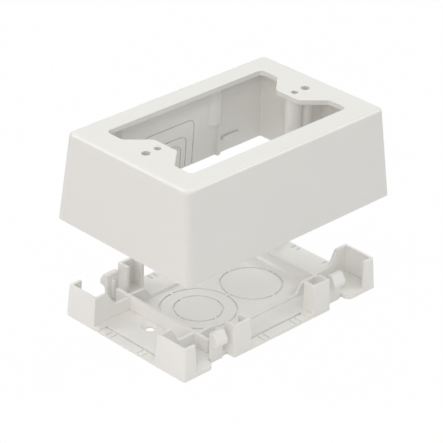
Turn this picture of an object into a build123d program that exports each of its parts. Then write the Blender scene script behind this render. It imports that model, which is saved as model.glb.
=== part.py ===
from build123d import *
from math import radians, tan
import os

# Low voltage outlet box for one device: a flat wall base with snap fingers and a drafted cover,
# shown with the cover lifted straight off. Millimetres. The origin is the centre of the base's
# underside, +X runs along the box and +Z points from the wall to the room.

# Cover, shell
rim_length = 125.5
rim_width = 83.2
cover_height = 42.3
end_draft = 3.79            # degrees that an end wall's outer face leans in
side_draft = 5.87           # degrees that a long wall's outer face leans in
inner_end_draft = 3.4
inner_side_draft = 3.6
end_wall = 2.0              # thickness at the rim; the walls thin out upwards
side_wall = 3.0
top_plate = 2.2
corner_radius = 3.0
top_edge_radius = 2.0
inner_radius = 0.6
lift = 49.0                 # the cover's rim stands this far over the base's underside

# Cover, device opening and screw bosses
opening_length = 94.6
opening_width = 52.8
opening_radius = 2.4
tab_gap = 74.0
tab_front_width = 14.0
tab_root_width = 32.4
device_screw_spacing = 83.34
faceplate_screw_spacing = 96.84
device_hole = 3.2
faceplate_hole = 4.0
boss_radius = 3.9
boss_depth = 20.0
boss_web = 2.0

# Cover, guide ribs, catch ledges and raceway entries
rib_thickness = 1.4
rib_gap = 0.6
rib_reach = 2.4             # from the inner face at the rim
rib_end_radius = 1.0
shoulder_gap = 1.8          # the rib widens this far above the post beside it
shoulder_reach = 4.0        # from the inner face at the rim
shoulder_flat = 2.7
shoulder_slope = 2.5
ledge_thickness = 1.6
ledge_reach = 1.2
ledge_length = 10.5
ledge_shift = 0.7           # from the snap finger's near side
entries = ((17.6, 13.3), (24.0, 17.0), (32.8, 24.2))    # width and height of each nested entry
entry_radius = 4.2
score_width = 0.6
score_depth = 0.5

# Base plate
fit = 0.3                   # running clearance between the base and the cover's inner faces
plate = 2.0
base_corner_radius = 1.0
side_strip = 5.4            # width of the thin break-out strip along a long side
end_strip = 4.7
strip_step = 0.7            # the strip's top lies this far below the plate's
strip_score = 0.4
mount_spacing = 84.0
mount_offset = 3.0          # of the screw holes from the long middle plane
mount_hole = 4.2
mount_sink = 8.0
sink_depth = 1.3

# Base, posts, walls and rails
post_height = 15.6
post_wall = 1.5
corner_width = 18.6         # along the end, from the base's corner
corner_return = 7.4         # along the long side, from the base's corner
partition_step = 8.4        # the partition stays full height this far from the end
step_run = 4.2
step_top_radius = 0.8
step_foot_radius = 2.0
post_centre = 25.1
post_width = 10.3
post_depth = 7.4
cross_inset = 21.95         # from the base's end to the far face of the cross wall
cross_wall = 2.0
cross_overhang = 7.2        # the cross wall runs this far past the rail
rail_height = 8.3
rail_inset = 15.7           # from the base's long side to the rail
ridge_height = 3.4
rail_run = 10.1             # full height of the rail, from the cross wall
rail_drop = 4.0
drop_radius = 2.6

# Base, snap fingers
finger_gap = 1.55           # beside the guide rib
finger_width = 7.0
finger_inset = 3.8          # from the base's long side to the finger's outer face
finger_thickness = 1.8
finger_height = 14.7
finger_crown = 0.7          # the lead-in starts this far past the finger's outer face
lip_reach = 3.1
lip_top = 11.2
lip_bottom = 8.7
lip_slope = 0.6
lip_radius = 0.9
gusset_width = 1.5
gusset_reach = 2.2
gusset_height = 11.2
recess_play = 1.7
tongue_radius = 3.0

# Base, round knockouts
knockout_rings = ((-15.3, 34.9), (-15.3, 22.2), (18.3, 28.6))    # centre and diameter
ring_width = 0.9
ring_depth = 0.8
bridge_width = 1.2
bridges = 4

# Derived places
margin = 1.0                                            # how far a cutter runs past a face
inner_half_length = rim_length / 2 - end_wall
inner_half_width = rim_width / 2 - side_wall
half_length = inner_half_length - fit
half_width = inner_half_width - fit
ceiling = cover_height - top_plate
post_outer = post_centre + post_width / 2
rib_start = post_outer + rib_gap
rib_end = rib_start + rib_thickness
finger_start = rib_end + finger_gap
finger_end = finger_start + finger_width
recess_end = finger_end + recess_play
partition = half_width - corner_width
cross_face = half_length - cross_inset
rail_face = half_width - rail_inset
finger_face = half_width - finger_inset


def span(x, y, z):
    """A block between two values on each axis."""
    low, high = zip(x, y, z)
    size = [b - a for a, b in zip(low, high)]
    return Pos(*low) * Box(*size, align=(Align.MIN, Align.MIN, Align.MIN))


def drafted(reach, drafts, bottom, top, radius):
    """A block with four planar drafted faces, its half sizes given at height zero."""
    sides = []
    for half, draft, plane in zip(reach, drafts, (Plane.XZ, Plane.YZ)):
        low = half - bottom * tan(radians(draft))
        high = half - top * tan(radians(draft))
        outline = Polygon((-low, bottom), (low, bottom), (high, top), (-high, top), align=None)
        sides.append(extrude(plane * outline, rim_length, both=True))
    block = sides[0] & sides[1]
    uprights = block.edges().filter_by(lambda edge: edge.bounding_box().size.Z > (top - bottom) / 2)
    return fillet(uprights, radius) if radius else block


def outer_form(bottom, top):
    """The cover's outer faces."""
    return drafted((rim_length / 2, rim_width / 2), (end_draft, side_draft), bottom, top, corner_radius)


def inner_form(inset, bottom, top, radius=0):
    """The cover's inner faces, set in by a distance."""
    reach = (inner_half_length - inset, inner_half_width - inset)
    return drafted(reach, (inner_end_draft, inner_side_draft), bottom, top, radius)


def base_form(top):
    """The base's outer faces, which follow the cover's inner faces."""
    return inner_form(fit, 0, top, base_corner_radius)


def mirrored(shape):
    """One corner's feature repeated in the other three."""
    pair = shape + mirror(shape, Plane.YZ)
    return pair + mirror(pair, Plane.XZ)


def cover_shell():
    """The drafted shell, open at the rim, with a rounded top edge."""
    outside = outer_form(0, cover_height)
    outside = fillet(outside.faces().sort_by(Axis.Z)[-1].edges(), top_edge_radius)
    hollow = inner_form(0, -margin, ceiling, inner_radius)
    hollow = fillet(hollow.faces().sort_by(Axis.Z)[-1].edges(), inner_radius)
    return outside - hollow


def device_opening():
    """The opening in the top with a screw tab at each end."""
    outline = Rectangle(opening_length, opening_width)
    half = opening_length / 2
    for side in (1, -1):
        tab = Polygon(
            (side * tab_gap / 2, -tab_front_width / 2),
            (side * tab_gap / 2, tab_front_width / 2),
            (side * half, tab_root_width / 2),
            (side * half, -tab_root_width / 2),
            align=None,
        )
        outline -= tab
    outline = fillet(outline.vertices(), opening_radius)
    return Pos(0, 0, ceiling - margin) * extrude(outline, top_plate + 2 * margin)


def screw_bosses():
    """Under each tab, a column round each screw hole and a web to the end wall."""
    outermost = faceplate_screw_spacing / 2
    columns = Sketch()
    for side in (1, -1):
        for spacing in (device_screw_spacing, faceplate_screw_spacing):
            columns += Pos(side * spacing / 2, 0) * Circle(boss_radius)
        web = Rectangle(rim_length / 2 - outermost, boss_web, align=(Align.MIN, Align.CENTER))
        columns += Pos(side * outermost, 0) * Rot(0, 0, 90 - side * 90) * web
    bosses = Pos(0, 0, ceiling - boss_depth) * extrude(columns, boss_depth + top_plate / 2)
    return bosses & inner_form(-end_wall / 2, 0, cover_height)


def screw_holes():
    """Pilot holes for the device and for the faceplate."""
    holes = Part()
    pairs = ((device_screw_spacing, device_hole), (faceplate_screw_spacing, faceplate_hole))
    for spacing, diameter in pairs:
        for side in (1, -1):
            holes += Pos(side * spacing / 2, 0, cover_height) * Cylinder(diameter / 2, 2 * cover_height)
    return holes


def guide_rib(face, bottom):
    """A rib along +X from a wall's inner face, with a shoulder to its left over the post beside it."""
    top = ceiling + top_plate / 2
    blade = Polygon((face - rib_reach, bottom), (face, bottom), (face, top), (face - rib_reach, top), align=None)
    blade = fillet(blade.vertices().sort_by(Axis.X)[:2].sort_by(Axis.Y)[:1], rib_end_radius)
    rib = extrude(Plane.XZ * blade, -rib_thickness)
    shoulder = Polygon(
        (face - rib_reach, rib_thickness),
        (face - shoulder_reach, -rib_gap),
        (face - shoulder_reach, -rib_gap - shoulder_flat),
        (face - rib_reach / 2, -rib_gap - shoulder_flat - shoulder_slope),
        (face, -rib_gap - shoulder_flat - shoulder_slope),
        (face, rib_thickness),
        align=None,
    )
    start = post_height + shoulder_gap
    return rib + Pos(0, 0, start) * extrude(shoulder, top - start)


def guide_ribs():
    """The ribs beside the middle posts on the long walls and beside the corner posts on the ends."""
    side_rib = mirror(Rot(0, 0, 90) * guide_rib(inner_half_width, 0), Plane.YZ)
    end_rib = mirror(guide_rib(inner_half_length, plate + rib_gap), Plane.XZ)
    ribs = Pos(rib_start, 0, 0) * side_rib + Pos(0, partition - rib_gap, 0) * end_rib
    return mirrored(ribs) & inner_form(-end_wall / 2, 0, cover_height)


def catch_ledges():
    """The ledges that the snap fingers' lips close over."""
    top = lip_bottom - fit
    start = finger_start + ledge_shift
    block = span((start, start + ledge_length), (0, rim_width), (top - ledge_thickness, top))
    height = cover_height / 2
    return mirrored(block - inner_form(ledge_reach, 0, height)) & inner_form(-end_wall / 2, 0, height)


def entry_scores():
    """Nested break-out lines inside all four walls, open at the rim."""
    lines = Sketch()
    for width, height in entries:
        outer = RectangleRounded(width, 2 * height, entry_radius)
        inner_size = (width - 2 * score_width, 2 * (height - score_width))
        lines += outer - RectangleRounded(*inner_size, entry_radius - score_width)
    skin = inner_form(-score_depth, -margin, ceiling) - inner_form(fit, -margin, ceiling)
    along = extrude(Plane.XZ * lines, rim_width, both=True)
    across = extrude(Plane.YZ * lines, rim_length, both=True)
    return (along + across) & skin


def cover():
    body = cover_shell() + screw_bosses() + guide_ribs() + catch_ledges()
    return Pos(0, 0, lift) * (body - device_opening() - screw_holes() - entry_scores())


def base_plate():
    """The flat plate, cut back beside each snap finger, with a rounded tongue at each corner."""
    notch_face = finger_face - finger_thickness / 2
    notch = Pos((post_outer + recess_end) / 2, notch_face + rim_width / 2)
    notch = notch * Rectangle(recess_end - post_outer, rim_width)
    rounding = Pos(recess_end + tongue_radius / 2, half_width) * Rectangle(tongue_radius, 2 * tongue_radius)
    rounding -= Pos(recess_end + tongue_radius, half_width - tongue_radius) * Circle(tongue_radius)
    cutter = extrude(Pos(0, 0, -margin) * (notch + rounding), plate + 2 * margin)
    return base_form(plate) - mirrored(cutter)


def break_out_strips():
    """Thin strips along the four edges, scored for the same entries as in the cover."""
    widest = max(width for width, height in entries)
    strips = Part()
    for reach, depth, turn in ((half_width, side_strip, 90), (half_length, end_strip, 0)):
        sunk = Pos(reach - depth, 0) * Rectangle(rim_width, widest, align=(Align.MIN, Align.CENTER))
        strip = Pos(0, 0, plate - strip_step) * extrude(sunk, strip_step + margin)
        lines = Sketch()
        for width, height in entries[:-1]:
            for edge in (1, -1):
                line = Rectangle(rim_width, score_width, align=(Align.MIN, Align.CENTER))
                lines += Pos(reach - depth, edge * (width - score_width) / 2) * line
        lines += Pos(reach - depth, 0) * Rectangle(score_width, widest, align=(Align.MIN, Align.CENTER))
        strip += Pos(0, 0, plate - strip_step - strip_score) * extrude(lines, strip_step + margin)
        strips += Rot(0, 0, turn) * strip + Rot(0, 0, turn + 180) * strip
    return strips


def ring_knockouts():
    """Round break-outs for conduit, each ring held by small bridges."""
    rings = Sketch()
    for centre, diameter in knockout_rings:
        ring = Circle((diameter + ring_width) / 2) - Circle((diameter - ring_width) / 2)
        for turn in range(bridges):
            bridge = Pos(diameter / 2, 0) * Rectangle(2 * ring_width, bridge_width)
            ring -= Rot(0, 0, turn * 360 / bridges) * bridge
        rings += Pos(centre, 0) * ring
    return Pos(0, 0, plate - ring_depth) * extrude(rings, ring_depth + margin)


def mounting_holes():
    """A countersunk hole in each end shelf."""
    holes = Part()
    for side in (1, -1):
        centre = Pos(side * mount_spacing / 2, mount_offset, 0)
        holes += centre * Pos(0, 0, plate / 2) * Cylinder(mount_hole / 2, plate + 2 * margin)
        holes += centre * Pos(0, 0, plate - sink_depth / 2) * Cone(mount_hole / 2, mount_sink / 2, sink_depth)
    return holes


def corner_posts():
    """Two drafted walls round each corner and the stepped partition to the cross wall."""
    walls = span((half_length - corner_return, rim_length), (partition, rim_width), (0, post_height))
    walls -= inner_form(fit + post_wall, 0, post_height)
    step = half_length - partition_step
    outline = Polygon(
        (cross_face - cross_wall, 0),
        (rim_length, 0),
        (rim_length, post_height),
        (step, post_height),
        (step - step_run, rail_height),
        (cross_face - cross_wall, rail_height),
        align=None,
    )
    foot, crest = outline.vertices().sort_by(Axis.X)[2:4]
    outline = fillet(foot, step_foot_radius)
    outline = fillet(outline.vertices().sort_by_distance(crest)[0], step_top_radius)
    screen = Pos(0, partition, 0) * extrude(Plane.XZ * outline, -post_wall)
    return mirrored(walls + screen) & base_form(post_height)


def middle_posts():
    """Channels on the long sides, open to the inside."""
    start = post_centre - post_width / 2
    inside = half_width - post_depth
    block = span((start, post_outer), (inside, rim_width), (0, post_height))
    room = span((start + post_wall, post_outer - post_wall), (0, rim_width), (0, post_height))
    room &= inner_form(fit + post_wall, 0, post_height)
    return mirrored(block - room) & base_form(post_height)


def tray_walls():
    """Cross walls at the ends of the tray, and rails that fall to a low ridge along its sides."""
    wall_end = rail_face + cross_overhang
    crossing = span((cross_face - cross_wall, cross_face), (0, wall_end), (0, rail_height))
    drop_start = cross_face - rail_run
    outline = Polygon(
        (0, 0),
        (cross_face, 0),
        (cross_face, rail_height),
        (drop_start, rail_height),
        (drop_start - rail_drop, ridge_height),
        (0, ridge_height),
        align=None,
    )
    outline = fillet(outline.vertices().sort_by(Axis.X)[2:4], drop_radius)
    rail = Pos(0, rail_face - post_wall, 0) * extrude(Plane.XZ * outline, -post_wall)
    return mirrored(crossing + rail)


def snap_fingers():
    """Upright fingers with a sloped lead-in and a lip that closes over the cover's ledge."""
    back = finger_face - finger_thickness
    lip = finger_face + lip_reach
    outline = Polygon(
        (back, 0),
        (finger_face, 0),
        (finger_face, lip_bottom - lip_slope),
        (lip, lip_bottom),
        (lip, lip_top),
        (finger_face + finger_crown, finger_height),
        (back, finger_height),
        align=None,
    )
    outline = fillet(outline.vertices().sort_by(Axis.Y)[2:], lip_radius)
    finger = Pos(finger_start, 0, 0) * extrude(Plane.YZ * outline, finger_width)
    web = Polygon(
        (back, 0),
        (back, gusset_height),
        (back - gusset_reach / 2, gusset_height),
        (back - gusset_reach, plate),
        (back - gusset_reach, 0),
        align=None,
    )
    place = (finger_start + finger_end - gusset_width) / 2
    return mirrored(finger + Pos(place, 0, 0) * extrude(Plane.YZ * web, gusset_width))


def base():
    body = base_plate() - break_out_strips()
    body += corner_posts() + middle_posts() + tray_walls() + snap_fingers()
    return body - ring_knockouts() - mounting_holes()


os.makedirs("parts", exist_ok=True)
export_step(base(), "parts/base.step")
export_step(cover(), "parts/cover.step")
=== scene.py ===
import math

import bpy
from mathutils import Matrix, Vector


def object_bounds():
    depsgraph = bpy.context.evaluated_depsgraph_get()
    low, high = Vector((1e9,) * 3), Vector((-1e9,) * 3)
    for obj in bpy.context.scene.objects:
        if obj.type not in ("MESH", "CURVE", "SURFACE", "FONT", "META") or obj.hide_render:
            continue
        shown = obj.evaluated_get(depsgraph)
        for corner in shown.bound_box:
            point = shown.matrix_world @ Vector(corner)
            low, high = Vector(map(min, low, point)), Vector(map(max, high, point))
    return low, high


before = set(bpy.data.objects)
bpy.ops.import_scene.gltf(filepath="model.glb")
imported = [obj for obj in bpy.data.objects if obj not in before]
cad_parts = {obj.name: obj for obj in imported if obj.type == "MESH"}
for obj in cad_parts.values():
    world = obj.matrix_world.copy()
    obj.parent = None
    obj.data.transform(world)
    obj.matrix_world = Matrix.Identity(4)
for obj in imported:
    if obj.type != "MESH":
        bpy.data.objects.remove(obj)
cad_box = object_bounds()

# Metres and degrees, in the frame of the box: +X along it, +Z away from the wall.

# Camera, at the viewing angle of the photograph
CAMERA_AZIMUTH = -45.19
CAMERA_ELEVATION = 28.74
CAMERA_ROLL = -1.65
CAMERA_DISTANCE = 1.0199
CAMERA_SIDEWAYS = 0.00049      # the box's origin lies this far right of the picture's middle
CAMERA_BELOW = 0.03581         # and this far below it
CLIP_RATIO = 100               # the clip planes are this many times nearer and further than it
SENSOR = 36.0                  # millimetres, as is the lens
LENS = 182.84

# Plastic
PLASTIC = {"base": (0.965, 0.962, 0.945), "cover": (0.918, 0.915, 0.898)}
MOTTLE_SIZE = 0.03
MOTTLE_DETAIL = 4.0
MOTTLE_SHADE = 0.988           # the mottling's darker tone, as a share of the colour
ROUGHNESS = (0.28, 0.33)       # across the mottling; under 0.28 the denoiser outlines its blotches
REFRACTION = 1.53
SPECULAR_LEVEL = 0.65
GRAIN_SIZE = 0.00035
GRAIN_DETAIL = 2.0
GRAIN_DEPTH = 0.000012
# Painted shade: the colour is darkened where the surface is enclosed within this depth, in scores
# and inner corners.
PAINTED_SHADE_DEPTH = 0.0007
PAINTED_CREVICE_SHADE = {"base": 0.5, "cover": 0.88}   # painted shade: share of the colour left in the narrowest scores
PAINTED_SHADE_RANGE = (0.1, 0.65)    # how open a point is where that painted shade is full, and where it ends

# Mould radius of the base
EDGE_RADIUS = 0.0003
EDGE_SEGMENTS = 2
EDGE_ANGLE = 32.0              # an edge is sharp where its two faces turn by more than this
FINE_HEIGHT = 0.0026           # edges that lie wholly below this are fine scores and stay crisp
FLAT_ANGLE = 1.0               # faces that turn by less than this are joined
WELD_DISTANCE = 0.000002

# Studio
FLOOR_SIZE = 6.0
FLOOR_DROP = 0.0002
FLOOR_TONE = (0.93, 0.93, 0.93)
FLOOR_ROUGHNESS = 0.9
FLOOR_WHITENESS = 0.98         # share of plain white in what the camera sees of the floor
WHITE = (1.0, 1.0, 1.0, 1.0)
WORLD_LEVEL = 0.34
LAMPS = {        # direction from the box, distance, size, power in watts, tint
    "overhead": ((0.1, 0.2, 1.0), 1.2, 1.6, 6.7, (0.98, 1.0, 0.97)),
    "front_left": ((-0.6, -0.7, 0.6), 1.2, 0.8, 2.3, (1.0, 1.0, 1.0)),
    "left": ((-1.0, -0.3, 0.4), 1.2, 0.6, 2.4, (1.0, 0.88, 0.88)),
    "front_edge": ((0.62, -0.48, 0.62), 1.2, 0.3, 2.2, (1.0, 1.0, 1.0)),
    "left_edge": ((-0.48, 0.62, 0.62), 1.2, 0.3, 1.9, (1.0, 1.0, 1.0)),
}


def camera_axes(azimuth, elevation, roll):
    """Right, down and forward of a camera that looks at the box from this side."""
    a, e, r = (math.radians(v) for v in (azimuth, elevation, roll))
    forward = -Vector((math.sin(a) * math.cos(e), -math.cos(a) * math.cos(e), math.sin(e)))
    right = forward.cross(Vector((0, 0, 1))).normalized()
    down = forward.cross(right)
    turned_right = right * math.cos(r) + down * math.sin(r)
    turned_down = down * math.cos(r) - right * math.sin(r)
    return turned_right, turned_down, forward


def add_camera():
    """The photograph's camera, with the box's origin a little off the picture's middle."""
    right, down, forward = camera_axes(CAMERA_AZIMUTH, CAMERA_ELEVATION, CAMERA_ROLL)
    data = bpy.data.cameras.new("camera")
    data.sensor_width = SENSOR
    data.lens = LENS
    data.clip_start = CAMERA_DISTANCE / CLIP_RATIO
    data.clip_end = CAMERA_DISTANCE * CLIP_RATIO
    camera = bpy.data.objects.new("camera", data)
    bpy.context.scene.collection.objects.link(camera)
    place = -(right * CAMERA_SIDEWAYS + down * CAMERA_BELOW + forward * CAMERA_DISTANCE)
    axes = Matrix((right, -down, -forward)).transposed().to_4x4()
    camera.matrix_world = Matrix.Translation(place) @ axes
    bpy.context.scene.camera = camera


def linear(colour):
    """A pale display colour in a shader's own scale, by the upper part of the sRGB curve."""
    return tuple(((c + 0.055) / 1.055) ** 2.4 for c in colour) + (1.0,)


def add_noise(nodes, links, place, size, detail):
    """The strength of a noise in the object's own space, with blotches of about this size."""
    noise = nodes.new("ShaderNodeTexNoise")
    noise.inputs["Scale"].default_value = 1 / size
    noise.inputs["Detail"].default_value = detail
    links.new(place.outputs["Object"], noise.inputs["Vector"])
    return noise.outputs["Fac"]


def add_range(nodes, links, value, source, target):
    """The value, carried over from one range to another."""
    span = nodes.new("ShaderNodeMapRange")
    span.inputs["From Min"].default_value, span.inputs["From Max"].default_value = source
    span.inputs["To Min"].default_value, span.inputs["To Max"].default_value = target
    links.new(value, span.inputs["Value"])
    return span.outputs["Result"]


def add_colour_with_painted_shade(nodes, links, mottle, tone, painted_crevice_shade):
    """The plastic's tone, faintly mottled, with painted shade that darkens it in narrow scores."""
    colour = nodes.new("ShaderNodeMix")
    colour.data_type = "RGBA"
    colour.inputs["A"].default_value = linear(tone)
    colour.inputs["B"].default_value = linear([channel * MOTTLE_SHADE for channel in tone])
    links.new(mottle, colour.inputs["Factor"])
    # Painted shade: the colour is darkened where the surface is enclosed, in narrow scores and
    # inner corners.
    painted_shade_occlusion = nodes.new("ShaderNodeAmbientOcclusion")
    painted_shade_occlusion.inputs["Distance"].default_value = PAINTED_SHADE_DEPTH
    painted_shade = add_range(nodes, links, painted_shade_occlusion.outputs["AO"], PAINTED_SHADE_RANGE, (painted_crevice_shade, 1.0))
    painted_shade_colour = nodes.new("ShaderNodeVectorMath")
    painted_shade_colour.operation = "SCALE"
    links.new(colour.outputs["Result"], painted_shade_colour.inputs[0])
    links.new(painted_shade, painted_shade_colour.inputs["Scale"])
    return painted_shade_colour.outputs["Vector"]


def moulded_plastic(name, tone, painted_crevice_shade):
    """Off-white plastic whose colour and gloss vary a little, with painted shade in narrow scores
    and a fine satin grain.
    """
    material = bpy.data.materials.new(name)
    material.use_nodes = True
    nodes, links = material.node_tree.nodes, material.node_tree.links
    shader = nodes["Principled BSDF"]
    shader.inputs["IOR"].default_value = REFRACTION
    shader.inputs["Specular IOR Level"].default_value = SPECULAR_LEVEL

    place = nodes.new("ShaderNodeTexCoord")
    mottle = add_noise(nodes, links, place, MOTTLE_SIZE, MOTTLE_DETAIL)
    # The colour carries painted shade in narrow scores.
    colour = add_colour_with_painted_shade(nodes, links, mottle, tone, painted_crevice_shade)
    links.new(colour, shader.inputs["Base Color"])
    gloss = add_range(nodes, links, mottle, (0.0, 1.0), ROUGHNESS)
    links.new(gloss, shader.inputs["Roughness"])

    grain = add_noise(nodes, links, place, GRAIN_SIZE, GRAIN_DETAIL)
    bump = nodes.new("ShaderNodeBump")
    bump.inputs["Strength"].default_value = 1.0
    bump.inputs["Distance"].default_value = GRAIN_DEPTH
    links.new(grain, bump.inputs["Height"])
    links.new(bump.outputs["Normal"], shader.inputs["Normal"])
    return material


def mark_main_edges(mesh):
    """Bevel weight on the sharp edges that rise above the fine scores, which stay crisp."""
    points = [vertex.co for vertex in mesh.vertices]
    places = [tuple(round(c / WELD_DISTANCE) for c in point) for point in points]
    normals = {}
    for face in mesh.polygons:
        for a, b in face.edge_keys:
            normals.setdefault(frozenset((places[a], places[b])), []).append(face.normal)
    weights, crisp = [], []
    for edge in mesh.edges:
        a, b = edge.vertices
        sides = normals.get(frozenset((places[a], places[b])), [])
        sharp = len(sides) == 2 and sides[0].angle(sides[1], 0.0) > math.radians(EDGE_ANGLE)
        fine = all(points[i].z < FINE_HEIGHT for i in (a, b))
        weights.append(1.0 if sharp and not fine else 0.0)
        crisp.append(sharp and fine)
    marks = (("bevel_weight_edge", "FLOAT", weights), ("sharp_edge", "BOOLEAN", crisp))
    for name, kind, values in marks:
        attribute = mesh.attributes.get(name) or mesh.attributes.new(name, kind, "EDGE")
        attribute.data.foreach_set("value", values)


def soften_edges(obj):
    """The CAD mesh's split points and flat faces joined, then a radius on its main edges."""
    mark_main_edges(obj.data)
    weld = obj.modifiers.new("shared_points", "WELD")
    weld.merge_threshold = WELD_DISTANCE
    flat = obj.modifiers.new("flat_faces", "DECIMATE")
    flat.decimate_type = "DISSOLVE"
    flat.angle_limit = math.radians(FLAT_ANGLE)
    bevel = obj.modifiers.new("mould_radius", "BEVEL")
    bevel.width = EDGE_RADIUS
    bevel.segments = EDGE_SEGMENTS
    bevel.limit_method = "WEIGHT"
    bevel.use_clamp_overlap = True
    shading = obj.modifiers.new("flat_shading", "WEIGHTED_NORMAL")
    shading.mode = "FACE_AREA"
    shading.keep_sharp = True


def dress_mouldings():
    """Plastic and smooth shading on both mouldings, and a mould radius on the base."""
    for name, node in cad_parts.items():
        node.data.materials.clear()
        # Each moulding's material darkens its narrow scores with painted shade.
        plastic = moulded_plastic(name + "_plastic", PLASTIC[name], PAINTED_CREVICE_SHADE[name])
        node.data.materials.append(plastic)
        for face in node.data.polygons:
            face.use_smooth = True
    # A radius on the cover would make faces cross near its tabs, so it keeps its CAD mesh.
    soften_edges(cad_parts["base"])


def add_floor():
    """A matte floor that the camera sees as almost plain white."""
    mesh = bpy.data.meshes.new("floor")
    half = FLOOR_SIZE / 2
    corners = [(-half, -half, 0), (half, -half, 0), (half, half, 0), (-half, half, 0)]
    mesh.from_pydata(corners, [], [(0, 1, 2, 3)])
    floor = bpy.data.objects.new("floor", mesh)
    floor.location.z = cad_box[0].z - FLOOR_DROP
    bpy.context.scene.collection.objects.link(floor)
    material = bpy.data.materials.new("floor")
    material.use_nodes = True
    nodes, links = material.node_tree.nodes, material.node_tree.links
    matte = nodes["Principled BSDF"]
    matte.inputs["Base Color"].default_value = linear(FLOOR_TONE)
    matte.inputs["Roughness"].default_value = FLOOR_ROUGHNESS
    white = nodes.new("ShaderNodeEmission")
    white.inputs["Strength"].default_value = 1.0
    rays = nodes.new("ShaderNodeLightPath")
    seen = nodes.new("ShaderNodeMath")
    seen.operation = "MULTIPLY"
    seen.inputs[1].default_value = FLOOR_WHITENESS
    mix = nodes.new("ShaderNodeMixShader")
    links.new(rays.outputs["Is Camera Ray"], seen.inputs[0])
    links.new(seen.outputs["Value"], mix.inputs["Fac"])
    links.new(matte.outputs["BSDF"], mix.inputs[1])
    links.new(white.outputs["Emission"], mix.inputs[2])
    links.new(mix.outputs["Shader"], nodes["Material Output"].inputs["Surface"])
    mesh.materials.append(material)


def add_lamps():
    """Soft round lamps, each turned to the middle of the box."""
    middle = (cad_box[0] + cad_box[1]) / 2
    for name, (direction, distance, size, power, tint) in LAMPS.items():
        data = bpy.data.lights.new(name, "AREA")
        data.shape = "DISK"
        data.size = size
        data.energy = power
        data.color = tint
        lamp = bpy.data.objects.new(name, data)
        bpy.context.scene.collection.objects.link(lamp)
        way = Vector(direction).normalized()
        lamp.location = middle + way * distance
        lamp.rotation_mode = "QUATERNION"
        lamp.rotation_quaternion = way.to_track_quat("Z", "Y")


def set_world():
    """Soft light all round, which the camera, the gloss and clear pieces see as plain white."""
    world = bpy.data.worlds.new("world")
    bpy.context.scene.world = world
    world.use_nodes = True
    nodes, links = world.node_tree.nodes, world.node_tree.links
    soft = nodes["Background"]
    soft.inputs["Color"].default_value = WHITE
    soft.inputs["Strength"].default_value = WORLD_LEVEL
    white = nodes.new("ShaderNodeBackground")
    white.inputs["Color"].default_value = WHITE
    white.inputs["Strength"].default_value = 1.0
    rays = nodes.new("ShaderNodeLightPath")
    first = nodes.new("ShaderNodeMath")
    first.operation = "MAXIMUM"
    second = nodes.new("ShaderNodeMath")
    second.operation = "MAXIMUM"
    links.new(rays.outputs["Is Camera Ray"], first.inputs[0])
    links.new(rays.outputs["Is Glossy Ray"], first.inputs[1])
    links.new(first.outputs["Value"], second.inputs[0])
    links.new(rays.outputs["Is Transmission Ray"], second.inputs[1])
    mix = nodes.new("ShaderNodeMixShader")
    links.new(second.outputs["Value"], mix.inputs["Fac"])
    links.new(soft.outputs["Background"], mix.inputs[1])
    links.new(white.outputs["Background"], mix.inputs[2])
    links.new(mix.outputs["Shader"], nodes["World Output"].inputs["Surface"])


bpy.context.scene.view_settings.view_transform = "Standard"
add_camera()
dress_mouldings()
add_floor()
add_lamps()
set_world()
